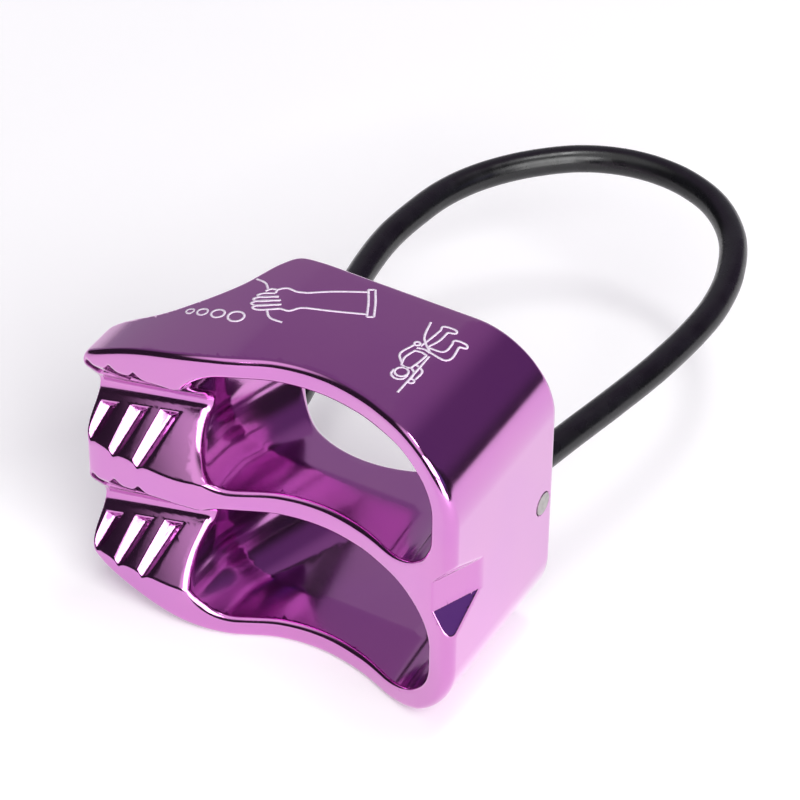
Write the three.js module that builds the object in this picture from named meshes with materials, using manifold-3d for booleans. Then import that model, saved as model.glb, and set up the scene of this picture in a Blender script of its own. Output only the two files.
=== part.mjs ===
// Tube belay and rappel device: a forged two-slot body with toothed braking grooves and a wire keeper loop.
// Millimetres, +Z up. The body lies on one broad face. +X is the smooth end, -X the toothed end,
// -Y the side where the ropes run in, +Y the side of the keeper loop. The origin is under the body's middle.
import * as THREE from 'three';
import { mergeVertices } from 'three/addons/utils/BufferGeometryUtils.js';
import Module from 'manifold-3d';

// Body
const bodyLength = 44.7;
const bodyDepth = 21.6;
const bodyHeight = 38;
const endRadius = 9.4; // rounding of the smooth end, seen from the front
const finTaperRadius = 32; // arc that thins the outer fins towards the toothed tip
const finTaperLength = 17.7;
const cornerRadius = 1.1; // upright edges of the smooth end

const halfLength = bodyLength / 2;
const halfDepth = bodyDepth / 2;
const middleZ = bodyHeight / 2;
const past = 4; // how far a cutter runs past what it cuts

// Rope slots
const webThickness = 2.6; // between the two slots
const slotHeight = 15.2;
const slotEndWall = 3;
const slotLength = 30.4;
const slotRadiusSmooth = 6.4;
const slotRadiusToothed = 6;
const slotBendFromFront = 7.6; // how far in the toothed end's wall starts to lean
const slotLean = 0.328; // how far that wall leans for each millimetre towards the back
const slotDraft = 0.052; // both halves of the forging open outwards from a ridge
const slotRidgeY = -1;
const slotNominalFromRidge = 7; // how far from the ridge the slot has its nominal size

// Saddle in the back edge of the web
const saddleRadius = 12.8;
const saddleCentreX = 3.95;
const saddleBehindBack = 5.5;
const saddleHeight = 13;

// Braking grooves
const grooveOffset = 7.7; // from the middle plane to the groove's bottom line
const grooveFloorHalf = 0.6;
const grooveHalfAtTip = 5.3;
const grooveHalfAtSlot = 6.1;
const grooveRimY = -9.9;
const grooveDepthAtTip = 3.7;
const grooveDepthAtSlot = 6.6;
const toothCount = 3;
const toothPitch = 3.05;
const toothDepthAtRim = 0.55;
const toothDepthAtFoot = 1.3;
const toothLean = 0.24; // how far the teeth lean towards the slot for each millimetre inwards
const toothRise = 1.35; // long flank, on the slot's side of a valley
const toothFlat = 0.85;
const toothFoot = 1; // plain wall between the teeth and the groove's floor

// Notch in the front edge of the smooth end
const notchHalfInside = 2;
const notchSlope = 1.35;
const notchStart = new THREE.Vector2(20, -10.03);
const notchEnd = new THREE.Vector2(22.54, -4.12);

// Keeper loop
const jacketRadius = 1.6;
const jacketBore = 1.28;
const strandRadius = 0.33;
const strandLayRadius = 0.76;
const coreRadius = 0.36;
const strandPitch = 28;
const outerStrands = 6;
const wireRadius = 1.09;
const flexY = 19.3; // the line across both legs where the loop bends
const flexGap = 0.7;
const jacketSides = 8;
const strandSides = 6;
const strandSteps = 50;

// Seats of the loop in the body
const mouthY = { right: halfDepth, left: 8.4 }; // the left leg goes in below the body's back corner
const seatDepth = 2;
const seatRadius = 1.9;
const wireBoreRadius = 1.35;
const wireBoreDepth = 6;
const wireInset = 0.4; // free depth behind the wire's end
const jacketInset = 0.3;

// Retaining pins
const pinRadius = 1.3;
const pinClearance = 0.2;
const pinSides = 16;
const pinLength = 1.15;
const pinProud = 0.05;
const rightPinY = 8.8;
const rightPinZ = 18.1;
const leftPinX = -10.85;
const leftPinY = 4.6;

// The keeper loop's centre line, from the wire's end in the smooth end, round, and back into the body
const route = new THREE.CatmullRomCurve3([
  [17.4, 4.6], [18.0, 8.3], [18.55, 11.1], [20.15, 19.3], [21.65, 26.5], [22.95, 33.7], [23.75, 41.4],
  [23.7, 46.9], [22.6, 52.7], [19.9, 58.8], [15.5, 63.4], [10.45, 65.6], [5.85, 66.0], [1.65, 65.2],
  [-2.15, 63.4], [-5.45, 60.7], [-8.15, 57.7], [-10.65, 53.8], [-12.35, 49.5], [-13.25, 44.5],
  [-13.65, 39.2], [-13.2, 33.5], [-12, 26.8], [-10.3, 19.3], [-9.2, 14.5], [-8.45, 11.1], [-8, 8.4],
  [-7.7, 5.4], [-7.5, 2.2],
].map(([x, y]) => new THREE.Vector3(x, y, middleZ)));
route.arcLengthDivisions = 600;

const wasm = await Module();
wasm.setup();

function toSolid(geometry) {
  const bare = geometry.clone();
  bare.deleteAttribute('normal');
  bare.deleteAttribute('uv');
  const merged = mergeVertices(bare, 1e-4);
  return new wasm.Manifold(new wasm.Mesh({
    numProp: 3,
    vertProperties: new Float32Array(merged.attributes.position.array),
    triVerts: new Uint32Array(merged.index.array),
  }));
}

function toGeometry(solid) {
  const mesh = solid.getMesh();
  const geometry = new THREE.BufferGeometry();
  geometry.setAttribute('position', new THREE.BufferAttribute(mesh.vertProperties, 3));
  geometry.setIndex(new THREE.BufferAttribute(mesh.triVerts, 1));
  geometry.computeVertexNormals();
  return geometry;
}

// Extrudes a section in as many rings as there are stations, and puts each point where place() says.
function loft(section, stations, place, curveSegments = 5) {
  const steps = stations.length - 1;
  const geometry = new THREE.ExtrudeGeometry(section, { depth: steps, steps, curveSegments, bevelEnabled: false });
  const points = geometry.attributes.position;
  for (let i = 0; i < points.count; i++) {
    const station = stations[Math.round(points.getZ(i))];
    points.setXYZ(i, ...place(points.getX(i), points.getY(i), station));
  }
  return geometry;
}

function regularSection(radius, sides, bore = 0) {
  const ring = (r) => Array.from({ length: sides }, (_, i) => {
    const angle = (i / sides) * 2 * Math.PI;
    return new THREE.Vector2(r * Math.cos(angle), r * Math.sin(angle));
  });
  const section = new THREE.Shape(ring(radius));
  if (bore > 0) section.holes.push(new THREE.Path(ring(bore)));
  return section;
}

// A rod between two points, as a cutter or a pin.
function rod(start, end, radius, sides) {
  const geometry = new THREE.CylinderGeometry(radius, radius, start.distanceTo(end), sides);
  const axis = end.clone().sub(start).normalize();
  const turn = new THREE.Quaternion().setFromUnitVectors(new THREE.Vector3(0, 1, 0), axis);
  geometry.applyQuaternion(turn);
  geometry.translate(...start.clone().add(end).multiplyScalar(0.5).toArray());
  return geometry;
}

// Seen from above: a hollowed front edge, a blunt toothed tip and a slanting back-left side.
function planOutline() {
  const plan = new THREE.Shape();
  plan.moveTo(halfLength, halfDepth - cornerRadius);
  plan.absarc(halfLength - cornerRadius, halfDepth - cornerRadius, cornerRadius, 0, Math.PI / 2);
  plan.lineTo(-5.2, halfDepth);
  plan.splineThru([
    new THREE.Vector2(-7.9, 10.4), new THREE.Vector2(-9.3, 8.6), new THREE.Vector2(-11.2, 3.9),
    new THREE.Vector2(-13.8, 0.2), new THREE.Vector2(-16.9, -2.5), new THREE.Vector2(-20.9, -3.6),
  ]);
  plan.quadraticCurveTo(-halfLength, -3.9, -halfLength, -5.2);
  plan.lineTo(-halfLength, -8.6);
  plan.quadraticCurveTo(-halfLength, -9.5, -21, -9.75);
  plan.splineThru([
    new THREE.Vector2(-16, -9.95), new THREE.Vector2(-10.5, -9.8), new THREE.Vector2(-5.9, -8.7),
    new THREE.Vector2(-0.6, -6.4), new THREE.Vector2(4.1, -5.8), new THREE.Vector2(9.2, -6.6),
    new THREE.Vector2(14.1, -8.4), new THREE.Vector2(18.3, -9.9), new THREE.Vector2(21.2, -halfDepth),
  ]);
  plan.quadraticCurveTo(halfLength, -halfDepth, halfLength, -halfDepth + cornerRadius);
  plan.closePath();
  return plan;
}

// Seen from the front: large round corners at the smooth end, thinning fins at the toothed tip.
function frontOutline() {
  const taperStartX = -halfLength + finTaperLength;
  const taperAngle = Math.asin(finTaperLength / finTaperRadius);
  const front = new THREE.Shape();
  front.absarc(halfLength - endRadius, endRadius, endRadius, -Math.PI / 2, 0);
  front.absarc(halfLength - endRadius, bodyHeight - endRadius, endRadius, 0, Math.PI / 2);
  front.absarc(taperStartX, bodyHeight - finTaperRadius, finTaperRadius, Math.PI / 2, Math.PI / 2 + taperAngle);
  front.absarc(taperStartX, finTaperRadius, finTaperRadius, 1.5 * Math.PI - taperAngle, 1.5 * Math.PI);
  front.closePath();
  return front;
}

function slotSection(centreZ) {
  const right = halfLength - slotEndWall;
  const left = right - slotLength;
  const top = centreZ + slotHeight / 2;
  const bottom = centreZ - slotHeight / 2;
  const a = slotRadiusToothed;
  const b = slotRadiusSmooth;
  const section = new THREE.Shape();
  section.absarc(right - b, bottom + b, b, -Math.PI / 2, 0);
  section.absarc(right - b, top - b, b, 0, Math.PI / 2);
  section.absarc(left + a, top - a, a, Math.PI / 2, Math.PI);
  section.absarc(left + a, bottom + a, a, Math.PI, 1.5 * Math.PI);
  section.closePath();
  return section;
}

// The slot's toothed end leans with the slanting side of the body, behind the bend. The slot narrows to its ridge.
function slotCutter(centreZ) {
  const bendY = -halfDepth + slotBendFromFront;
  const stations = [halfDepth + past, slotRidgeY, bendY, -halfDepth - past];
  const centreX = halfLength - slotEndWall - slotLength / 2;
  return loft(slotSection(centreZ), stations, (x, z, y) => {
    const lean = x < centreX ? slotLean * Math.max(0, y - bendY) : 0;
    const wider = slotDraft * (Math.abs(y - slotRidgeY) - slotNominalFromRidge);
    return [x + lean + Math.sign(x - centreX) * wider, y, z + Math.sign(z - centreZ) * wider];
  });
}

// Where each tooth of a groove starts, peaks and ends: position along the rim and the share of the full cut.
function toothStations(slotEndX) {
  const firstValley = -halfLength + 0.55;
  const stations = [{ x: -halfLength - past, cut: 0 }, { x: firstValley - toothPitch + toothRise + toothFlat, cut: 0 }];
  for (let i = 0; i < toothCount; i++) {
    const valley = firstValley + i * toothPitch;
    stations.push({ x: valley, cut: 1 });
    stations.push({ x: valley + toothRise, cut: 0 });
    stations.push({ x: valley + toothRise + toothFlat, cut: 0 });
  }
  stations.push({ x: slotEndX, cut: 0 });
  return stations;
}

// The V of a groove, with its floor rising and its walls closing in towards the tip, and its leaning teeth.
function grooveCutter(centreZ) {
  const slotX = halfLength - slotEndWall - slotLength;
  const along = (x) => THREE.MathUtils.clamp((x + halfLength) / (slotX + halfLength), -0.5, 1.4);
  const section = new THREE.Shape([
    new THREE.Vector2(-1, 0), new THREE.Vector2(1, 0), new THREE.Vector2(2, 0.5), new THREE.Vector2(3, 1.5),
    new THREE.Vector2(4, 3), new THREE.Vector2(-4, 3), new THREE.Vector2(-3, 1.5), new THREE.Vector2(-2, 0.5),
  ]);
  const mouth = past;
  const footStep = 0.15;
  return loft(section, toothStations(slotX + 3.4), (u, v, { x, cut }) => {
    const t = along(x);
    const depth = THREE.MathUtils.lerp(grooveDepthAtTip, grooveDepthAtSlot, t);
    const rimHalf = THREE.MathUtils.lerp(grooveHalfAtTip, grooveHalfAtSlot, t);
    const slope = (rimHalf - grooveFloorHalf) / depth;
    const floorY = grooveRimY + depth;
    const level = Math.abs(u) - 1;
    const height = [0, toothFoot, toothFoot + footStep, depth + mouth][level];
    const upWall = (height - toothFoot) / (depth - toothFoot);
    const toothDepth = THREE.MathUtils.lerp(toothDepthAtFoot, toothDepthAtRim, upWall);
    const half = grooveFloorHalf + slope * height + (level > 1 ? cut * toothDepth : 0);
    const lean = toothLean * (depth - height);
    return [x + lean, floorY - height, centreZ + Math.sign(u) * half];
  });
}

// A wedge with a flat back wall, cut across the upright front edge of the smooth end.
function notchCutter() {
  const along = notchEnd.clone().sub(notchStart).normalize();
  const out = new THREE.Vector2(along.y, -along.x);
  const reach = 6;
  const wide = notchHalfInside + notchSlope * reach;
  const section = new THREE.Shape([
    new THREE.Vector2(0, -notchHalfInside), new THREE.Vector2(reach, -wide),
    new THREE.Vector2(reach, wide), new THREE.Vector2(0, notchHalfInside),
  ]);
  return loft(section, [2 * reach, -reach], (u, z, s) => {
    const foot = notchStart.clone().addScaledVector(along, s).addScaledVector(out, u);
    return [foot.x, foot.y, middleZ + z];
  });
}

function saddleCutter() {
  const cutter = new THREE.CylinderGeometry(saddleRadius, saddleRadius, saddleHeight, 48);
  cutter.rotateX(Math.PI / 2);
  cutter.translate(saddleCentreX, halfDepth + saddleBehindBack, middleZ);
  return cutter;
}

// The axis of a leg where it goes into the body: a point at the mouth of its seat and the direction inwards.
function seat(side) {
  const mouth = side === 'right' ? route.points[2].clone() : route.points.at(-3).clone();
  const inner = side === 'right' ? route.points[0].clone() : route.points.at(-1).clone();
  const inwards = inner.sub(mouth).normalize();
  mouth.addScaledVector(inwards, (mouth.y - mouthY[side]) / -inwards.y);
  return { mouth, inwards };
}

function rodAtSeat(side, from, to, radius, sides) {
  const { mouth, inwards } = seat(side);
  const start = mouth.clone().addScaledVector(inwards, from);
  const end = mouth.clone().addScaledVector(inwards, to);
  return rod(start, end, radius, sides);
}

function rightPinEnds(from, to) {
  const at = (depth) => new THREE.Vector3(halfLength - depth, rightPinY, rightPinZ);
  return [at(from), at(to)];
}

function leftPinEnds(from, to) {
  const at = (depth) => new THREE.Vector3(leftPinX + depth, leftPinY, middleZ);
  return [at(from), at(to)];
}

function makeBody() {
  const plan = new THREE.ExtrudeGeometry(planOutline(), { depth: bodyHeight, curveSegments: 4, bevelEnabled: false });
  const deep = [halfDepth + past, -halfDepth - past];
  const front = loft(frontOutline(), deep, (x, z, y) => [x, y, z], 7);
  const slotCentre = (webThickness + slotHeight) / 2;
  let body = toSolid(plan).intersect(toSolid(front));
  for (const sign of [-1, 1]) {
    body = body.subtract(toSolid(slotCutter(middleZ + sign * slotCentre)));
    body = body.subtract(toSolid(grooveCutter(middleZ + sign * grooveOffset)));
  }
  body = body.subtract(toSolid(saddleCutter()));
  for (const side of ['left', 'right']) {
    body = body.subtract(toSolid(rodAtSeat(side, -past, seatDepth, seatRadius, 20)));
    body = body.subtract(toSolid(rodAtSeat(side, 0, wireBoreDepth, wireBoreRadius, 20)));
  }
  const pinHole = pinRadius + pinClearance;
  body = body.subtract(toSolid(rod(...rightPinEnds(-past, pinLength + pinClearance), pinHole, pinSides)));
  body = body.subtract(toSolid(rod(...leftPinEnds(-past, pinLength + pinClearance), pinHole, pinSides)));
  return toGeometry(body.subtract(toSolid(notchCutter())));
}

// Distance along the route, from its start, of the place where it crosses a given Y on one leg.
function distanceAtY(y, fromEnd) {
  const length = route.getLength();
  let low = 0;
  let high = length / 3;
  for (let i = 0; i < 40; i++) {
    const middle = (low + high) / 2;
    const point = route.getPointAt((fromEnd ? length - middle : middle) / length);
    if (point.y < y) low = middle;
    else high = middle;
  }
  return fromEnd ? length - low : low;
}

// A stretch of the route between two distances, as a curve, wound at layRadius round the centre line.
function stretch(from, to, steps, layRadius = 0, phase = 0) {
  const length = route.getLength();
  const points = [];
  for (let i = 0; i <= steps; i++) {
    const distance = from + ((to - from) * i) / steps;
    const point = route.getPointAt(distance / length);
    const along = route.getTangentAt(distance / length);
    const angle = phase + (2 * Math.PI * distance) / strandPitch;
    const aside = new THREE.Vector3(-along.y, along.x, 0);
    point.addScaledVector(aside, layRadius * Math.cos(angle));
    point.z += layRadius * Math.sin(angle);
    points.push(point);
  }
  return new THREE.CatmullRomCurve3(points);
}

function sweep(section, path, steps) {
  return new THREE.ExtrudeGeometry(section, { steps, extrudePath: path, bevelEnabled: false });
}

const finish = {
  anodised: { color: 0x8a3f93, roughness: 0.25, metalness: 1 },
  steel: { color: 0xa9a7a6, roughness: 0.35, metalness: 1 },
  jacket: { color: 0x141416, roughness: 0.35, metalness: 0 },
};

const device = new THREE.Group();

function addPart(name, geometry, look) {
  const mesh = new THREE.Mesh(geometry, new THREE.MeshStandardMaterial(look));
  mesh.name = name;
  device.add(mesh);
}

const rightFlex = distanceAtY(flexY, false);
const leftFlex = distanceAtY(flexY, true);
const rightMouth = distanceAtY(mouthY.right, false);
const leftMouth = distanceAtY(mouthY.left, true);
const jacketSection = regularSection(jacketRadius, jacketSides, jacketBore);
const wireSection = regularSection(wireRadius, jacketSides);
const wireIn = wireBoreDepth - wireInset;
const jacketIn = seatDepth - jacketInset;

addPart('body', makeBody(), finish.anodised);
addPart('retaining_pin_right', rod(...rightPinEnds(-pinProud, pinLength), pinRadius, pinSides), finish.steel);
addPart('retaining_pin_left', rod(...leftPinEnds(-pinProud, pinLength), pinRadius, pinSides), finish.steel);

const legs = [
  { name: 'right', jacketFrom: rightMouth - jacketIn, wireFrom: rightMouth - wireIn, to: rightFlex - flexGap },
  { name: 'left', jacketFrom: leftMouth + jacketIn, wireFrom: leftMouth + wireIn, to: leftFlex + flexGap },
];
for (const leg of legs) {
  addPart(`jacket_root_${leg.name}`, sweep(jacketSection, stretch(leg.jacketFrom, leg.to, 5), 5), finish.jacket);
  addPart(`wire_root_${leg.name}`, sweep(wireSection, stretch(leg.wireFrom, leg.to, 6), 6), finish.steel);
}

const loopFrom = rightFlex + flexGap;
const loopTo = leftFlex - flexGap;
addPart('jacket_loop', sweep(jacketSection, stretch(loopFrom, loopTo, 48), 48), finish.jacket);
addPart('core_strand', sweep(regularSection(coreRadius, strandSides), stretch(loopFrom, loopTo, 40), 40), finish.steel);
for (let i = 0; i < outerStrands; i++) {
  const path = stretch(loopFrom, loopTo, strandSteps, strandLayRadius, (i / outerStrands) * 2 * Math.PI);
  addPart(`outer_strand_${i + 1}`, sweep(regularSection(strandRadius, strandSides), path, strandSteps), finish.steel);
}

export default device;
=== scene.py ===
# Looks of a tube belay device: a polished, purple anodised body with two rope slots, and a coated
# wire keeper loop. Metres and the CAD frame. The body's shape is worked out in millimetres and
# scaled once, when its mesh is made.
import math

import bpy
import numpy as np
import openvdb as vdb
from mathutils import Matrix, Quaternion, Vector


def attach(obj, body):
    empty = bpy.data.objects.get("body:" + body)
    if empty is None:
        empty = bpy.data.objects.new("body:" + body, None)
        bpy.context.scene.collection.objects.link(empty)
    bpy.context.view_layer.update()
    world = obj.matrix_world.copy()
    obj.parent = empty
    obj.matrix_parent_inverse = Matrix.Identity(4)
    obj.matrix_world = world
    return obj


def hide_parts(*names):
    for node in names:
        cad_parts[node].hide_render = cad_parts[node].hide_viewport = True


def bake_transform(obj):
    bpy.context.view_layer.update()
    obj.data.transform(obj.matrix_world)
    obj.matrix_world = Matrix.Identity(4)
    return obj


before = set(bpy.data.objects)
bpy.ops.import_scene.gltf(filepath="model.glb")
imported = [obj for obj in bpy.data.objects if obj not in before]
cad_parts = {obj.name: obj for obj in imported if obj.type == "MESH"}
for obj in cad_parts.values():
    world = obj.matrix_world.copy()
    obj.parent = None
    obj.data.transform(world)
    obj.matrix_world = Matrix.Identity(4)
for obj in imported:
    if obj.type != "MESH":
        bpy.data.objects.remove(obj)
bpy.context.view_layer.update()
scene = bpy.context.scene
mm = 0.001
pieceCollection = bpy.data.collections.new("devicePieces")
scene.collection.children.link(pieceCollection)


def linearColour(hexColour):
    channels = [int(hexColour[i:i + 2], 16) / 255 for i in (1, 3, 5)]
    bent = [c / 12.92 if c <= 0.04045 else ((c + 0.055) / 1.055) ** 2.4 for c in channels]
    return (*bent, 1)


def addNode(tree, kind, links=None, **values):
    # values are node properties when the node has them, and otherwise inputs by name
    node = tree.nodes.new(kind)
    inputs = {}
    for name, value in values.items():
        if hasattr(node, name):
            setattr(node, name, value)
        else:
            inputs[name.replace("_", " ")] = value
    for name, value in inputs.items():
        node.inputs[name].default_value = value
    for name, source in (links or {}).items():
        tree.links.new(source, node.inputs[name])
    return node


def meshPiece(name, points, faces):
    mesh = bpy.data.meshes.new(name)
    mesh.from_pydata(points, [], faces)
    mesh.validate()
    mesh.update()
    mesh.polygons.foreach_set("use_smooth", [True] * len(mesh.polygons))
    piece = bpy.data.objects.new(name, mesh)
    pieceCollection.objects.link(piece)
    return piece


def smoothLine(points, spacing, closed=False):
    # centripetal Catmull-Rom through the points, resampled at an even spacing
    base = np.array(points, float)
    if closed:
        base = np.vstack([base[-1], base, base[:2]])
    else:
        base = np.vstack([2 * base[0] - base[1], base, 2 * base[-1] - base[-2]])
    knots = np.concatenate([[0], np.cumsum(np.linalg.norm(np.diff(base, axis=0), axis=1) ** 0.5)])
    dense = []
    for i in range(1, len(base) - 2):
        t = np.linspace(knots[i], knots[i + 1], 24, endpoint=False)[:, None]
        t0, t1, t2, t3 = knots[i - 1:i + 3]
        p0, p1, p2, p3 = base[i - 1:i + 3]
        a1 = (t1 - t) / (t1 - t0) * p0 + (t - t0) / (t1 - t0) * p1
        a2 = (t2 - t) / (t2 - t1) * p1 + (t - t1) / (t2 - t1) * p2
        a3 = (t3 - t) / (t3 - t2) * p2 + (t - t2) / (t3 - t2) * p3
        b1 = (t2 - t) / (t2 - t0) * a1 + (t - t0) / (t2 - t0) * a2
        b2 = (t3 - t) / (t3 - t1) * a2 + (t - t1) / (t3 - t1) * a3
        dense.append((t2 - t) / (t2 - t1) * b1 + (t - t1) / (t2 - t1) * b2)
    dense.append(base[-2][None])
    line = np.vstack(dense)
    along = np.concatenate([[0], np.cumsum(np.linalg.norm(np.diff(line, axis=0), axis=1))])
    count = max(2, int(round(along[-1] / spacing)) + 1)
    even = np.linspace(0, along[-1], count)
    return np.stack([np.interp(even, along, line[:, k]) for k in range(line.shape[1])], axis=1)


print("camera")
cameraSettings = {
    "place": (0.15252, -0.25489, 0.27670),
    "azimuth": 29.2,
    "elevation": 39.815,
    "roll": 0.79,
    "lens": 169.24,
}
cameraData = bpy.data.cameras.new("studioCamera")
cameraData.sensor_width = 36
cameraData.lens = cameraSettings["lens"]
cameraData.clip_start = 0.01
cameraData.clip_end = 20
studioCamera = bpy.data.objects.new("studioCamera", cameraData)
scene.collection.objects.link(studioCamera)
azimuth = math.radians(cameraSettings["azimuth"])
elevation = math.radians(cameraSettings["elevation"])
towardsCamera = Vector((
    math.sin(azimuth) * math.cos(elevation), -math.cos(azimuth) * math.cos(elevation), math.sin(elevation)))
studioCamera.location = cameraSettings["place"]
studioCamera.rotation_mode = "QUATERNION"
studioCamera.rotation_quaternion = (
    (-towardsCamera).to_track_quat("-Z", "Y") @ Quaternion((0, 0, 1), math.radians(cameraSettings["roll"])))
scene.camera = studioCamera

print("materials")


def newMaterial(name):
    material = bpy.data.materials.new(name)
    material.use_nodes = True
    tree = material.node_tree
    tree.nodes.clear()
    shader = addNode(tree, "ShaderNodeBsdfPrincipled")
    addNode(tree, "ShaderNodeOutputMaterial", {"Surface": shader.outputs["BSDF"]})
    place = addNode(tree, "ShaderNodeTexCoord").outputs["Object"]
    return material, tree, shader, place


def noise(tree, place, size, detail=2):
    # size is the pattern's real size in metres
    pattern = addNode(tree, "ShaderNodeTexNoise", {"Vector": place}, Scale=1 / size, Detail=detail)
    return pattern.outputs["Fac"]


def ramp(tree, factor, low, high):
    return addNode(tree, "ShaderNodeMapRange", {"Value": factor}, From_Min=0.35, From_Max=0.65,
                   To_Min=low, To_Max=high).outputs["Result"]


def mixColour(tree, factor, first, second):
    node = addNode(tree, "ShaderNodeMix", data_type="RGBA")
    tree.links.new(factor, node.inputs["Factor"])
    node.inputs[6].default_value = linearColour(first)
    node.inputs[7].default_value = linearColour(second)
    return node.outputs[2]


def addBump(tree, shader, height, distance):
    bump = addNode(tree, "ShaderNodeBump", {"Height": height}, Distance=distance, Strength=1.0)
    tree.links.new(bump.outputs["Normal"], shader.inputs["Normal"])


# Polished aluminium under a dyed oxide layer: mirror-like, a little uneven in tint and gloss.
anodised, tree, shader, place = newMaterial("purpleAnodisedAluminium")
tint = mixColour(tree, ramp(tree, noise(tree, place, 0.012), 0, 1), "#ca7ac5", "#cd7fc4")
tree.links.new(tint, shader.inputs["Base Color"])
tree.links.new(ramp(tree, noise(tree, place, 0.004, 3), 0.12, 0.15), shader.inputs["Roughness"])
shader.inputs["Metallic"].default_value = 1
shader.inputs["Coat Weight"].default_value = 1
shader.inputs["Coat IOR"].default_value = 1.55
shader.inputs["Coat Roughness"].default_value = 0.08
addBump(tree, shader, noise(tree, place, 0.0012), 0.000002)

# Extruded thermoplastic: black, with a soft shine broken by a faint die texture.
jacketPlastic, tree, shader, place = newMaterial("glossyBlackPlastic")
tint = mixColour(tree, ramp(tree, noise(tree, place, 0.003), 0, 1), "#0c0c0e", "#131316")
tree.links.new(tint, shader.inputs["Base Color"])
tree.links.new(ramp(tree, noise(tree, place, 0.002, 3), 0.22, 0.32), shader.inputs["Roughness"])
addBump(tree, shader, noise(tree, place, 0.0006), 0.000004)

# Bare drawn stainless wire and cut pin ends.
bareSteel, tree, shader, place = newMaterial("bareStainlessSteel")
tint = mixColour(tree, ramp(tree, noise(tree, place, 0.0008), 0, 1), "#a3a19e", "#b6b4b1")
tree.links.new(tint, shader.inputs["Base Color"])
tree.links.new(ramp(tree, noise(tree, place, 0.0003, 3), 0.3, 0.42), shader.inputs["Roughness"])
shader.inputs["Metallic"].default_value = 1
addBump(tree, shader, noise(tree, place, 0.0002), 0.000003)

# Laser marking: the dye is burnt off, leaving a chalky pale line.
etchedLine, tree, shader, place = newMaterial("laserMarkedOxide")
tint = mixColour(tree, ramp(tree, noise(tree, place, 0.0003), 0, 1), "#e2d3e6", "#f2e9f4")
tree.links.new(tint, shader.inputs["Base Color"])
tree.links.new(ramp(tree, noise(tree, place, 0.0002, 3), 0.55, 0.7), shader.inputs["Roughness"])

print("keeper loop")
loopSettings = {
    "jacketRadius": 1.6 * mm,
    "strandRadius": 0.33 * mm,
    "layRadius": 0.76 * mm,
    "coreRadius": 0.36 * mm,
    "pitch": 28 * mm,
    "strands": 6,
    "jacketSides": 32,
    "strandSides": 10,
    "routeSpacing": 0.8 * mm,
    "height": 0.019,
    "flexStart": (0.005, 0.0132, 0.019),
    "flexEnd": (0.005, 0.0254, 0.019),
}
# the same route as the CAD tube's, from the wire's end in the smooth end, round, and back into the body
loopRoute = [
    (0.0174, 0.0046), (0.0180, 0.0083), (0.01855, 0.0111), (0.02015, 0.0193), (0.02165, 0.0265),
    (0.02295, 0.0337), (0.02375, 0.0414), (0.0237, 0.0469), (0.0226, 0.0527), (0.0199, 0.0588),
    (0.0155, 0.0634), (0.01045, 0.0656), (0.00585, 0.0660), (0.00165, 0.0652), (-0.00215, 0.0634),
    (-0.00545, 0.0607), (-0.00815, 0.0577), (-0.01065, 0.0538), (-0.01235, 0.0495), (-0.01325, 0.0445),
    (-0.01365, 0.0392), (-0.0132, 0.0335), (-0.012, 0.0268), (-0.0103, 0.0193), (-0.0092, 0.0145),
    (-0.00845, 0.0111), (-0.008, 0.0084), (-0.0077, 0.0054), (-0.0075, 0.0022),
]


def routeCurve(name, lines):
    curve = bpy.data.curves.new(name, "CURVE")
    curve.dimensions = "3D"
    for line in lines:
        spline = curve.splines.new("POLY")
        spline.points.add(len(line) - 1)
        for point, co in zip(spline.points, line):
            point.co = (*co, 1)
    return curve


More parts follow.
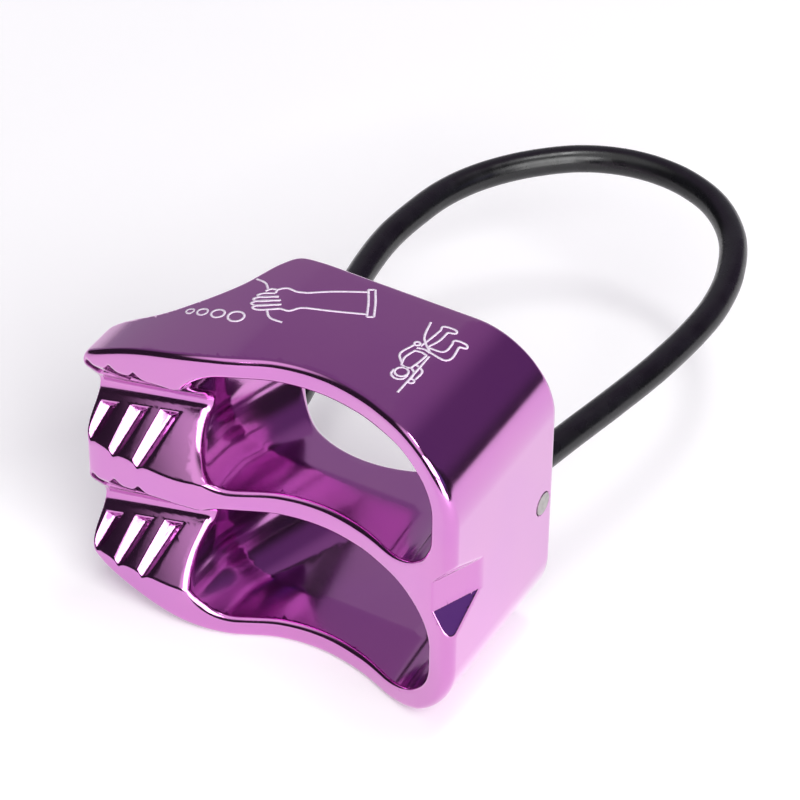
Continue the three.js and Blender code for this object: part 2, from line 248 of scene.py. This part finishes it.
def sweptTree():
    # sweeps a round section along the curve, wound round it at a lay radius
    tree = bpy.data.node_groups.new("sweptRound", "GeometryNodeTree")
    tree.interface.new_socket("Geometry", in_out="INPUT", socket_type="NodeSocketGeometry")
    for name in ("Radius", "Lay radius", "Pitch", "Phase"):
        tree.interface.new_socket(name, in_out="INPUT", socket_type="NodeSocketFloat")
    tree.interface.new_socket("Sides", in_out="INPUT", socket_type="NodeSocketInt")
    tree.interface.new_socket("Finish", in_out="INPUT", socket_type="NodeSocketMaterial")
    tree.interface.new_socket("Geometry", in_out="OUTPUT", socket_type="NodeSocketGeometry")
    given = addNode(tree, "NodeGroupInput").outputs
    length = addNode(tree, "GeometryNodeSplineParameter").outputs["Length"]
    turns = addNode(tree, "ShaderNodeMath", {0: length, 1: given["Pitch"]}, operation="DIVIDE").outputs[0]
    angle = addNode(tree, "ShaderNodeMath", {0: turns, 2: given["Phase"]}, operation="MULTIPLY_ADD")
    angle.inputs[1].default_value = 2 * math.pi
    cosine = addNode(tree, "ShaderNodeMath", {0: angle.outputs[0]}, operation="COSINE").outputs[0]
    sine = addNode(tree, "ShaderNodeMath", {0: angle.outputs[0]}, operation="SINE").outputs[0]
    tangent = addNode(tree, "GeometryNodeInputTangent").outputs["Tangent"]
    up = addNode(tree, "FunctionNodeInputVector", vector=(0, 0, 1)).outputs[0]
    aside = addNode(tree, "ShaderNodeVectorMath", {0: up, 1: tangent}, operation="CROSS_PRODUCT").outputs[0]
    sideways = addNode(tree, "ShaderNodeVectorMath", {0: aside, "Scale": cosine},
                       operation="SCALE").outputs[0]
    upwards = addNode(tree, "ShaderNodeVectorMath", {0: up, "Scale": sine}, operation="SCALE").outputs[0]
    unit = addNode(tree, "ShaderNodeVectorMath", {0: sideways, 1: upwards}, operation="ADD").outputs[0]
    offset = addNode(tree, "ShaderNodeVectorMath", {0: unit, "Scale": given["Lay radius"]},
                     operation="SCALE").outputs[0]
    wound = addNode(tree, "GeometryNodeSetPosition", {"Geometry": given["Geometry"], "Offset": offset})
    upright = addNode(tree, "GeometryNodeSetCurveNormal", {"Curve": wound.outputs["Geometry"]}, mode="Z_UP")
    along = addNode(tree, "GeometryNodeStoreNamedAttribute",
                    {"Geometry": upright.outputs["Curve"], "Value": length}, Name="along")
    section = addNode(tree, "GeometryNodeCurvePrimitiveCircle",
                      {"Resolution": given["Sides"], "Radius": given["Radius"]})
    swept = addNode(tree, "GeometryNodeCurveToMesh",
                    {"Curve": along.outputs["Geometry"], "Profile Curve": section.outputs["Curve"]})
    swept.inputs["Fill Caps"].default_value = True
    smooth = addNode(tree, "GeometryNodeSetShadeSmooth", {"Geometry": swept.outputs["Mesh"]})
    real = addNode(tree, "GeometryNodeRealizeInstances", {"Geometry": smooth.outputs["Geometry"]})
    finished = addNode(tree, "GeometryNodeSetMaterial",
                       {"Geometry": real.outputs["Geometry"], "Material": given["Finish"]})
    addNode(tree, "NodeGroupOutput", {"Geometry": finished.outputs["Geometry"]})
    return tree


def sweptPiece(name, lines, tree, values):
    holder = bpy.data.objects.new(name + "Route", routeCurve(name, lines))
    pieceCollection.objects.link(holder)
    modifier = holder.modifiers.new("swept", "NODES")
    modifier.node_group = tree
    for item in tree.interface.items_tree:
        if item.in_out == "INPUT" and item.name in values:
            modifier[item.identifier] = values[item.name]
    evaluated = holder.evaluated_get(bpy.context.evaluated_depsgraph_get())
    mesh = bpy.data.meshes.new_from_object(evaluated)
    mesh.name = name
    bpy.data.objects.remove(holder)
    piece = bpy.data.objects.new(name, mesh)
    pieceCollection.objects.link(piece)
    return piece


flatRoute = smoothLine(loopRoute, loopSettings["routeSpacing"])
route = [(x, y, loopSettings["height"]) for x, y in flatRoute]
swept = sweptTree()
jacket = sweptPiece("keeper_loop_jacket", [route], swept, {
    "Radius": loopSettings["jacketRadius"], "Lay radius": 0.0, "Pitch": 1.0, "Phase": 0.0,
    "Sides": loopSettings["jacketSides"], "Finish": jacketPlastic})
strands = [sweptPiece("wire_core_strand", [route], swept, {
    "Radius": loopSettings["coreRadius"], "Lay radius": 0.0, "Pitch": 1.0, "Phase": 0.0,
    "Sides": loopSettings["strandSides"], "Finish": bareSteel})]
for i in range(loopSettings["strands"]):
    strands.append(sweptPiece(f"wire_outer_strand_{i + 1}", [route], swept, {
        "Radius": loopSettings["strandRadius"], "Lay radius": loopSettings["layRadius"],
        "Pitch": loopSettings["pitch"], "Phase": i / loopSettings["strands"] * 2 * math.pi,
        "Sides": loopSettings["strandSides"], "Finish": bareSteel}))

print("body")
bodySettings = {
    "voxel": 0.15,
    "adaptivity": 0.012,
    "meshLow": (-23.1, -11.7, -0.9),
    "meshHigh": (23.4, 11.8, 39.2),
    "planLow": (-25, -13.5),
    "planHigh": (25, 13.5),
    "planStep": 0.15,
    "planSpacing": 0.2,
    "pullSteps": 4,
    "pullShare": 0.3,
    "length": 44.7,
    "depth": 21.6,
    "height": 38,
    "endRadius": 9.4,
    "finTaperRadius": 32,
    "finTaperLength": 17.7,
    "markRelief": 0.02,
    "rimFillet": 0.75,
    "endFillet": 1.3,
    "endFilletBack": 0.55,
    "endFilletX": (18, 21),
    "endFilletY": (4, -2),
    "toothedLipX": (-9.5, -6.0),
    "slotLip": 0.65,
    "slotLipToothed": 0.75,
    "slotLipSmooth": 0.32,
    "smoothLipX": (9.0, 16.0),
    "grooveLip": 0.2,
    "toothLip": 0.17,
    "webThickness": 2.6,
    "slotHeight": 15.2,
    "slotEndWall": 3,
    "slotLength": 30.4,
    "slotRadiusSmooth": 6.4,
    "slotRadiusToothed": 6,
    "slotBendFromFront": 7.6,
    "slotBendEase": 1.5,
    "slotLean": 0.328,
    "slotDraft": 0.052,
    "draftRidgeY": -1.0,
    "draftFrontY": -8.0,
    "saddleRadius": 12.8,
    "saddleCentre": (3.95, 16.3),
    "saddleHalf": 6.5,
    "saddleFillet": 0.8,
    "grooveOffset": 7.7,
    "grooveFloorHalf": 0.6,
    "grooveHalf": (5.3, 6.1),
    "grooveDepth": (3.7, 6.6),
    "grooveRimY": -9.9,
    "grooveFloorCosine": 0.97,
    "grooveFloorFillet": 0.4,
    "grooveOverrun": 3.4,
    "firstValley": -21.8,
    "toothCount": 3,
    "toothPitch": 3.05,
    "toothDepth": (1.3, 0.75),
    "toothSoftness": 0.16,
    "toothLean": 0.24,
    "toothRise": 1.35,
    "toothFlat": 0.85,
    "toothFoot": 1.0,
    "toothClear": 0.15,
    "toothEndTurn": math.radians(22),
    "toothSteepness": 0.75,
    "notchStart": (20.0, -10.03),
    "notchEnd": (22.54, -4.12),
    "notchHalf": 2.0,
    "notchSlope": 1.35,
    "notchFillet": 0.18,
    "leftMouthY": 8.4,
    "seatDepth": 2,
    "seatRadius": 1.9,
    "seatFillet": 0.25,
    "pinRadius": 1.3,
    "pinClearance": 0.05,
    "pinHoleDepth": 1.35,
    "pinFillet": 0.1,
    "holeOverrun": 4,
    "rightPin": (8.8, 18.1),
    "leftPin": (-10.85, 4.6),
}
b = bodySettings
halfLength = b["length"] / 2
halfDepth = b["depth"] / 2
middleZ = b["height"] / 2
# seen from above, without the smooth end, which the front outline closes
planPoints = [
    (30, 10.8), (20, 10.8), (10, 10.8), (0, 10.8), (-5.2, 10.8), (-7.9, 10.4), (-9.3, 8.6), (-11.2, 3.9),
    (-13.8, 0.2), (-16.9, -2.5), (-20.9, -3.6), (-22.1, -4.3), (-22.35, -5.2), (-22.35, -6.9), (-22.35, -8.6),
    (-22.1, -9.3), (-21, -9.7), (-16, -9.95), (-10.5, -9.8), (-5.9, -8.7), (-0.6, -6.4), (4.1, -5.8),
    (9.2, -6.6), (14.1, -8.4), (18.3, -9.9), (21.2, -10.62), (24, -10.78), (30, -10.78),
]


def fade(value, start, end):
    return np.clip((value - start) / (end - start), 0, 1)


def roundedMax(a, c, radius):
    # the inside of both fields, with the edge between them rounded
    corner = np.hypot(np.maximum(a + radius, 0), np.maximum(c + radius, 0))
    return np.minimum(-radius, np.maximum(a, c)) + corner


def outlineGrid(points, spacing, low, high, step):
    # signed distance to a closed outline on a fine grid, negative inside
    line = smoothLine(points, spacing, closed=True)
    xs = np.arange(low[0], high[0], step)
    ys = np.arange(low[1], high[1], step)
    x, y = np.meshgrid(xs, ys, indexing="ij")
    nearest = np.full(x.shape, 1e9)
    inside = np.zeros(x.shape, bool)
    for (x0, y0), (x1, y1) in zip(line, np.roll(line, -1, axis=0)):
        dx, dy = x1 - x0, y1 - y0
        share = np.clip(((x - x0) * dx + (y - y0) * dy) / (dx * dx + dy * dy + 1e-12), 0, 1)
        nearest = np.minimum(nearest, (x - x0 - share * dx) ** 2 + (y - y0 - share * dy) ** 2)
        if y0 != y1:
            crosses = ((y0 > y) != (y1 > y)) & (x < (y - y0) / (y1 - y0) * dx + x0)
            inside ^= crosses
    distance = np.sqrt(nearest)
    return np.where(inside, -distance, distance), low, step


def sampleGrid(grid, x, y):
    # bicubic look-up, so that the surface has no facets
    values, low, step = grid
    x, y = np.broadcast_arrays(x, y)
    u = np.clip((x - low[0]) / step, 1, values.shape[0] - 3.001)
    v = np.clip((y - low[1]) / step, 1, values.shape[1] - 3.001)
    i = u.astype(int)
    j = v.astype(int)
    weights = []
    for t in (u - i, v - j):
        weights.append([
            ((-0.5 * t + 1) * t - 0.5) * t,
            (1.5 * t - 2.5) * t * t + 1,
            ((-1.5 * t + 2) * t + 0.5) * t,
            (0.5 * t - 0.5) * t * t,
        ])
    total = np.zeros(x.shape)
    for a in range(4):
        for c in range(4):
            total += weights[0][a] * weights[1][c] * values[i + a - 1, j + c - 1]
    return total


planGrid = outlineGrid(planPoints, b["planSpacing"], b["planLow"], b["planHigh"], b["planStep"])


def frontField(x, z):
    # large round corners at the smooth end, and fins that thin along an arc towards the tip
    # the top stands a little low, for the marks on it
    half = middleZ - b["markRelief"] / 2
    up = np.abs(z - half)
    r = b["endRadius"]
    qx = x - (halfLength - r)
    qz = up - (half - r)
    end = np.hypot(np.maximum(qx, 0), np.maximum(qz, 0)) + np.minimum(np.maximum(qx, qz), 0) - r
    start = b["finTaperLength"] - halfLength
    arc = np.hypot(x - start, up - (half - b["finTaperRadius"])) - b["finTaperRadius"]
    return np.where(x < start, np.maximum(arc, x - halfLength), end)


def slotField(x, y, z, centreZ):
    right = halfLength - b["slotEndWall"]
    bend = -halfDepth + b["slotBendFromFront"]
    behind = y - bend
    eased = 0.5 * (behind + np.sqrt(behind ** 2 + b["slotBendEase"]))
    # both halves of the forging open outwards from a ridge half way in
    ridge = b["draftRidgeY"]
    wider = b["slotDraft"] * (np.abs(y - ridge) + b["draftFrontY"] - ridge)
    left = right - b["slotLength"] + b["slotLean"] * eased - wider
    right = right + wider
    middle = (left + right) / 2
    half = (right - left) / 2
    r = np.where(x > middle, b["slotRadiusSmooth"], b["slotRadiusToothed"])
    qx = np.abs(x - middle) - (half - r)
    qz = np.abs(z - centreZ) - (b["slotHeight"] / 2 + wider - r)
    return np.hypot(np.maximum(qx, 0), np.maximum(qz, 0)) + np.minimum(np.maximum(qx, qz), 0) - r


def toothShare(x):
    # how much of the full cut there is along the rim, softened a little:
    # a long flank, a flat top, a short flank
    pitch = b["toothPitch"]
    rise = b["toothRise"]
    flat = rise + b["toothFlat"]
    last = b["firstValley"] + (b["toothCount"] - 1) * pitch + rise
    total = 0
    for shift in np.linspace(-b["toothSoftness"], b["toothSoftness"], 5):
        along = x + shift - b["firstValley"]
        phase = along - np.floor(along / pitch) * pitch
        share = np.interp(phase, [0, rise, flat, pitch], [1, 0, 0, 1])
        total = total + np.where(x + shift > last, 0, share) / 5
    return total


def grooveFields(x, y, z, centreZ):
    # the plain V, and the teeth cut into its walls above their foot
    slotX = halfLength - b["slotEndWall"] - b["slotLength"]
    t = np.clip((x + halfLength) / (slotX + halfLength), -0.5, 1.4)
    depth = b["grooveDepth"][0] + t * (b["grooveDepth"][1] - b["grooveDepth"][0])
    rim = b["grooveHalf"][0] + t * (b["grooveHalf"][1] - b["grooveHalf"][0])
    slope = (rim - b["grooveFloorHalf"]) / depth
    lean = np.sqrt(1 + slope ** 2)
    height = b["grooveRimY"] + depth - y
    side = np.abs(z - centreZ) - b["grooveFloorHalf"]
    wall = (side - slope * height) / lean
    stop = x - slotX - b["grooveOverrun"]
    bottom = -height * b["grooveFloorCosine"]
    groove = np.maximum(roundedMax(wall, bottom, b["grooveFloorFillet"]), stop)
    foot = b["toothFoot"]
    upWall = (height - foot) / (depth - foot)
    full = b["toothDepth"][0] + upWall * (b["toothDepth"][1] - b["toothDepth"][0])
    share = toothShare(x - b["toothLean"] * (depth - height))
    cut = share * full / lean - b["toothClear"] * (1 - share)
    endTurn = b["toothEndTurn"]
    end = math.cos(endTurn) * (foot - height) - math.sin(endTurn) * (side - slope * foot)
    teeth = np.maximum(np.maximum((wall - cut) * b["toothSteepness"], end), stop)
    return groove, teeth


def rodField(x, y, z, mouth, inwards, start, end, radius):
    dx, dy, dz = x - mouth[0], y - mouth[1], z - mouth[2]
    along = dx * inwards[0] + dy * inwards[1] + dz * inwards[2]
    away = np.sqrt(np.maximum(dx * dx + dy * dy + dz * dz - along * along, 0))
    return np.maximum(away - radius, np.maximum(start - along, along - end))


def notchField(x, y, z):
    sx, sy = b["notchStart"]
    ex, ey = b["notchEnd"]
    length = math.hypot(ex - sx, ey - sy)
    ax, ay = (ex - sx) / length, (ey - sy) / length
    out = (x - sx) * ay - (y - sy) * ax
    slope = b["notchSlope"]
    facet = (np.abs(z - middleZ) - b["notchHalf"] - slope * out) / math.hypot(1, slope)
    return np.maximum(facet, -out)


def legSeat(outer, inner, mouthY):
    # the mouth of a leg's seat, and the direction inwards
    mouth = np.array([*outer, loopSettings["height"]]) / mm
    end = np.array([*inner, loopSettings["height"]]) / mm
    inwards = (end - mouth) / np.linalg.norm(end - mouth)
    mouth = mouth + inwards * (mouth[1] - mouthY) / -inwards[1]
    return mouth, inwards


seats = [
    legSeat(loopRoute[2], loopRoute[0], halfDepth),
    legSeat(loopRoute[-3], loopRoute[-1], b["leftMouthY"]),
]


def bodyField(x, y, z):
    plan = sampleGrid(planGrid, x, y)
    front = frontField(x, z)
    toothed = fade(x, *b["toothedLipX"])
    nearEnd = fade(x, *b["endFilletX"])
    nearFront = fade(y, *b["endFilletY"])
    endFillet = b["endFilletBack"] + nearFront * (b["endFillet"] - b["endFilletBack"])
    body = roundedMax(plan, front, b["rimFillet"] + nearEnd * (endFillet - b["rimFillet"]))
    offset = (b["webThickness"] + b["slotHeight"]) / 2
    smooth = fade(x, *b["smoothLipX"])
    lip = b["slotLipToothed"] + toothed * (b["slotLip"] - b["slotLipToothed"])
    lip = lip + smooth * (b["slotLipSmooth"] - b["slotLip"])
    for sign in (-1, 1):
        groove, teeth = grooveFields(x, y, z, middleZ + sign * b["grooveOffset"])
        body = roundedMax(body, -groove, b["grooveLip"])
        body = roundedMax(body, -teeth, b["toothLip"])
    for sign in (-1, 1):
        body = roundedMax(body, -slotField(x, y, z, middleZ + sign * offset), lip)
    cx, cy = b["saddleCentre"]
    saddle = np.maximum(np.hypot(x - cx, y - cy) - b["saddleRadius"], np.abs(z - middleZ) - b["saddleHalf"])
    body = roundedMax(body, -saddle, b["saddleFillet"])
    for mouth, inwards in seats:
        seatHole = rodField(x, y, z, mouth, inwards, -b["holeOverrun"], b["seatDepth"], b["seatRadius"])
        body = roundedMax(body, -seatHole, b["seatFillet"])
    pinHole = b["pinRadius"] + b["pinClearance"]
    reach = (-b["holeOverrun"], b["pinHoleDepth"])
    y0, z0 = b["rightPin"]
    rightHole = rodField(x, y, z, (halfLength, y0, z0), (-1, 0, 0), *reach, pinHole)
    x0, y0 = b["leftPin"]
    leftHole = rodField(x, y, z, (x0, y0, middleZ), (1, 0, 0), *reach, pinHole)
    body = roundedMax(body, -rightHole, b["pinFillet"])
    body = roundedMax(body, -leftHole, b["pinFillet"])
    return roundedMax(body, -notchField(x, y, z), b["notchFillet"])


def fieldSlope(field, points, step=0.04):
    slope = np.empty_like(points)
    for axis in range(3):
        ahead = points.copy()
        behind = points.copy()
        ahead[:, axis] += step
        behind[:, axis] -= step
        slope[:, axis] = (field(*ahead.T) - field(*behind.T)) / (2 * step)
    return slope


def fieldPiece(name, field, low, high, voxel, adaptivity):
    # a mesh of the field's zero surface, with each point pulled exactly onto it
    axes = [np.arange(low[k], high[k], voxel) for k in range(3)]
    x, y, z = np.meshgrid(*axes, indexing="ij", sparse=True)
    values = np.broadcast_to(field(x, y, z), [len(a) for a in axes]).astype(np.float32)
    grid = vdb.FloatGrid(background=float(voxel * 3))
    grid.copyFromArray(np.ascontiguousarray(values))
    points, triangles, quads = grid.convertToPolygons(isovalue=0.0, adaptivity=adaptivity)
    points = np.asarray(points, float) * voxel + np.array(low)
    for _ in range(b["pullSteps"]):
        slope = fieldSlope(field, points)
        size = np.maximum((slope ** 2).sum(1), 0.05)
        move = slope * (field(*points.T) / size)[:, None]
        reach = np.linalg.norm(move, axis=1)
        points -= move * np.minimum(1, b["pullShare"] * voxel / np.maximum(reach, 1e-9))[:, None]
    slope = fieldSlope(field, points)
    normals = slope / np.linalg.norm(slope, axis=1)[:, None]
    faces = [tuple(q) for q in quads.tolist()] + [tuple(t) for t in triangles.tolist()]
    piece = meshPiece(name, (points * mm).tolist(), faces)
    first = piece.data.polygons[0]
    if Vector(normals[first.vertices[0]]).dot(first.normal) < 0:
        piece.data.flip_normals()
    piece.data.normals_split_custom_set_from_vertices(normals.tolist())
    print(name, "triangles", sum(len(p.vertices) - 2 for p in piece.data.polygons))
    return piece


bodyShell = fieldPiece("body_shell", bodyField, b["meshLow"], b["meshHigh"], b["voxel"], b["adaptivity"])
bodyShell.data.materials.append(anodised)

print("marks")
markSettings = {
    "width": 0.26,
    "thickness": 0.05,
    "spacing": 0.12,
    "stagger": 0.002,
    "hand": ((-6.5, 1.9), 28, 0.8),
    "climber": ((12.0, 2.2), 180, 1.0),
    "rings": ((-11.2, -1.9), 6, 1.0),
}


def circle(x, y, radius):
    return [(x + radius * math.cos(a), y + radius * math.sin(a)) for a in np.linspace(0, 2 * math.pi, 17)]


# A fist round a rope and its sleeve. Each line is in millimetres, from the middle of the fist.
handLines = [
    [(1.5, -1.3), (-1.4, -1.5), (-2.1, -1.0), (-1.5, -0.6), (1.3, -0.5)],
    [(1.6, -0.4), (-1.6, -0.6), (-2.3, -0.05), (-1.6, 0.35), (1.4, 0.4)],
    [(1.5, 0.5), (-1.4, 0.35), (-2.1, 0.85), (-1.4, 1.2), (1.2, 1.2)],
    [(1.2, 1.3), (-1.0, 1.2), (-1.6, 1.65), (-0.9, 2.0), (0.7, 1.95)],
    [(1.5, -1.3), (2.6, -1.7), (3.9, -1.1), (4.7, -1.0)],
    [(0.7, 1.95), (1.0, 2.7), (2.2, 3.0), (3.4, 2.3), (4.8, 2.1)],
    [(1.0, 2.7), (0.1, 2.9), (-0.6, 2.5)],
    [(4.8, 2.1), (8.0, 2.5), (12.6, 2.6)],
    [(4.7, -1.0), (8.0, -1.5), (12.6, -2.0)],
    [(12.6, 3.1), (12.7, 0.4), (12.6, -2.5)],
    [(13.5, 3.1), (13.6, 0.4), (13.5, -2.5)],
    [(12.6, 3.1), (13.5, 3.1)],
    [(12.6, -2.5), (13.5, -2.5)],
    [(-0.3, 3.0), (-0.7, 4.3), (-1.9, 5.4)],
    [(-0.2, -1.7), (0.3, -3.2), (1.9, -4.1)],
]
# Somebody sitting in a harness on a rope, with one hand above and one below.
climberLines = [
    [(0.0, 6.2), (0.0, 3.0), (0.05, -0.3)],
    [(0.3, -0.9), (1.9, -2.6), (2.6, -5.2)],
    circle(1.25, 3.2, 0.7),
    [(0.45, 3.4), (0.6, 4.1), (1.3, 4.4), (2.0, 4.0), (2.1, 3.2)],
    [(0.75, 2.2), (0.5, 1.0), (0.35, -0.3)],
    [(1.85, 2.2), (2.1, 1.0), (1.75, -0.4)],
    [(0.75, 2.2), (1.3, 2.35), (1.85, 2.2)],
    [(0.3, -0.3), (1.0, -0.5), (1.8, -0.4)],
    [(0.3, -0.85), (1.0, -1.05), (1.8, -0.9)],
    [(0.8, 2.1), (0.1, 2.7), (-0.1, 3.7)],
    [(0.7, 1.4), (-0.5, 2.1), (-0.55, 3.6)],
    circle(-0.3, 4.0, 0.32),
    [(1.9, 2.0), (2.8, 0.8), (2.3, -1.1)],
    circle(2.1, -1.5, 0.3),
    [(0.3, -0.9), (-1.6, -0.6), (-2.0, -1.2), (-1.8, -3.2)],
    [(1.0, -1.5), (-0.7, -1.6), (-1.0, -2.0), (-1.0, -3.2)],
    [(-1.8, -3.2), (-2.5, -3.5), (-2.3, -3.9), (-0.9, -3.8), (-1.0, -3.2)],
    [(0.9, -1.6), (0.4, -3.0), (0.3, -4.6)],
    [(1.6, -1.3), (1.3, -3.0), (1.1, -4.6)],
    [(0.3, -4.6), (-0.5, -4.9), (-0.3, -5.3), (1.2, -5.2), (1.1, -4.6)],
]
# Four rings of falling size, for rope thicknesses.
ringLines = [circle(2.9, 0, 0.85), circle(0.85, 0, 0.7), circle(-0.9, 0, 0.56), circle(-2.3, 0, 0.42)]


def topHeight(x):
    # the nominal height of the top face, which falls along an arc at both ends
    start = b["finTaperLength"] - halfLength
    end = halfLength - b["endRadius"]
    if x < start:
        return b["height"] - b["finTaperRadius"] + math.sqrt(b["finTaperRadius"] ** 2 - (x - start) ** 2)
    if x > end:
        return b["height"] - b["endRadius"] + math.sqrt(b["endRadius"] ** 2 - (x - end) ** 2)
    return b["height"]


def strokeTree():
    # a flat band that follows every line of a curve
    tree = bpy.data.node_groups.new("flatStroke", "GeometryNodeTree")
    tree.interface.new_socket("Geometry", in_out="INPUT", socket_type="NodeSocketGeometry")
    for name in ("Width", "Thickness"):
        tree.interface.new_socket(name, in_out="INPUT", socket_type="NodeSocketFloat")
    tree.interface.new_socket("Finish", in_out="INPUT", socket_type="NodeSocketMaterial")
    tree.interface.new_socket("Geometry", in_out="OUTPUT", socket_type="NodeSocketGeometry")
    given = addNode(tree, "NodeGroupInput").outputs
    upright = addNode(tree, "GeometryNodeSetCurveNormal", {"Curve": given["Geometry"]}, mode="Z_UP")
    section = addNode(tree, "GeometryNodeCurvePrimitiveQuadrilateral",
                      {"Width": given["Width"], "Height": given["Thickness"]})
    swept = addNode(tree, "GeometryNodeCurveToMesh",
                    {"Curve": upright.outputs["Curve"], "Profile Curve": section.outputs["Curve"]})
    swept.inputs["Fill Caps"].default_value = True
    real = addNode(tree, "GeometryNodeRealizeInstances", {"Geometry": swept.outputs["Mesh"]})
    finished = addNode(tree, "GeometryNodeSetMaterial",
                       {"Geometry": real.outputs["Geometry"], "Material": given["Finish"]})
    addNode(tree, "NodeGroupOutput", {"Geometry": finished.outputs["Geometry"]})
    return tree


def markPiece(name, lines, placing, tree):
    (cx, cy), turn, size = placing
    c, s = math.cos(math.radians(turn)) * size, math.sin(math.radians(turn)) * size
    routes = []
    for i, line in enumerate(lines):
        # crossing strokes lie at slightly different heights
        sink = markSettings["thickness"] / 2 + markSettings["stagger"] * (i % 4)
        even = smoothLine(line, markSettings["spacing"])
        placed = [(cx + c * u - s * v, cy + s * u + c * v) for u, v in even]
        routes.append([(x * mm, y * mm, (topHeight(x) - sink) * mm) for x, y in placed])
    return sweptPiece(name, routes, tree, {
        "Width": markSettings["width"] * mm, "Thickness": markSettings["thickness"] * mm,
        "Finish": etchedLine})


stroke = strokeTree()
marks = [
    markPiece("hand_mark", handLines, markSettings["hand"], stroke),
    markPiece("climber_mark", climberLines, markSettings["climber"], stroke),
    markPiece("rope_size_mark", ringLines, markSettings["rings"], stroke),
]

print("pins")
for name in ("retaining_pin_right", "retaining_pin_left"):
    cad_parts[name].data.materials.clear()
    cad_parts[name].data.materials.append(bareSteel)

print("floor and light")
floorSettings = {
    "half": 1.6,
    "roughness": 0.9,
    "glow": 0.16,
}
# A pale lit table: matt and almost even, it shows only soft shadows.
floorMaterial, tree, shader, place = newMaterial("paleTable")
tint = mixColour(tree, ramp(tree, noise(tree, place, 0.15), 0, 1), "#f3f3f3", "#f7f7f7")
tree.links.new(tint, shader.inputs["Base Color"])
shader.inputs["Roughness"].default_value = floorSettings["roughness"]
shader.inputs["Emission Color"].default_value = linearColour("#ffffff")
shader.inputs["Emission Strength"].default_value = floorSettings["glow"]
f = floorSettings["half"]
floor = meshPiece("studio_floor", [(-f, -f, 0), (f, -f, 0), (f, f, 0), (-f, f, 0)], [(0, 1, 2, 3)])
floor.data.materials.append(floorMaterial)


def compass(azimuth, elevation):
    # azimuth 0 looks along +Y and 90 along +X
    a, e = math.radians(azimuth), math.radians(elevation)
    return Vector((math.sin(a) * math.cos(e), math.cos(a) * math.cos(e), math.sin(e)))


roomSettings = {
    "dark": (0.03, 0.027, 0.033, 1),
    "lobes": [
        # aim, the cosines between which it fades in, and its light
        ((5, 30), (0.62, 0.8), (0.137, 0.08, 0.174, 1)),
        ((-40, 45), (0.72, 0.98), (0.26, 0.18, 0.3, 1)),
        ((-30, -2), (0.751, 0.763), (0.33, 0.31, 0.37, 1)),
        ((86, 24), (0.965, 0.99), (0.14, 0.11, 0.3, 1)),
        ((180, 72), (0.83, 0.99), (1.15, 1.15, 1.15, 1)),
    ],
    "softboxes": [
        # name, azimuth, elevation, distance, size and radiance
        ("keySoftbox", 126, 42, 1.0, (0.8, 0.52), 6.4),
        ("lowSoftbox", 122, 13, 1.0, (0.55, 0.4), 5.5),
        ("overheadSoftbox", 45, 78, 1.2, (0.38, 0.2), 12),
    ],
}
world = bpy.data.worlds.new("studioRoom")
world.use_nodes = True
tree = world.node_tree
tree.nodes.clear()
direction = addNode(tree, "ShaderNodeTexCoord").outputs["Generated"]
shade = None
for aim, (low, high), light in roomSettings["lobes"]:
    facing = addNode(tree, "ShaderNodeVectorMath", {0: direction}, operation="DOT_PRODUCT")
    facing.inputs[1].default_value = compass(*aim)
    share = addNode(tree, "ShaderNodeMapRange", {"Value": facing.outputs["Value"]}, From_Min=low,
                    From_Max=high, interpolation_type="SMOOTHSTEP").outputs["Result"]
    mix = addNode(tree, "ShaderNodeMix", {"Factor": share}, data_type="RGBA")
    mix.inputs[7].default_value = light
    if shade is None:
        mix.inputs[6].default_value = roomSettings["dark"]
    else:
        tree.links.new(shade, mix.inputs[6])
    shade = mix.outputs[2]
background = addNode(tree, "ShaderNodeBackground", {"Color": shade})
addNode(tree, "ShaderNodeOutputWorld", {"Surface": background.outputs["Background"]})
scene.world = world
scene.view_settings.view_transform = "Standard"


def softbox(name, azimuth, elevation, distance, size, radiance):
    # a flat panel that faces the object, as bright as radiance says
    data = bpy.data.lights.new(name, "AREA")
    data.shape = "RECTANGLE"
    data.size, data.size_y = size
    data.energy = radiance * math.pi * size[0] * size[1]
    light = bpy.data.objects.new(name, data)
    light.location = compass(azimuth, elevation) * distance
    light.rotation_mode = "QUATERNION"
    light.rotation_quaternion = (-light.location).to_track_quat("-Z", "Y")
    scene.collection.objects.link(light)


for lamp in roomSettings["softboxes"]:
    softbox(*lamp)

print("declare")
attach(bodyShell, "body")
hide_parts("body")
for piece in marks:
    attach(piece, "body")
for piece in [jacket, *strands]:
    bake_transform(piece)
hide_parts("jacket_root_right", "jacket_root_left", "jacket_loop")
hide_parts("wire_root_right", "wire_root_left", "core_strand")
for i, piece in enumerate(strands[1:]):
    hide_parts(f"outer_strand_{i + 1}")
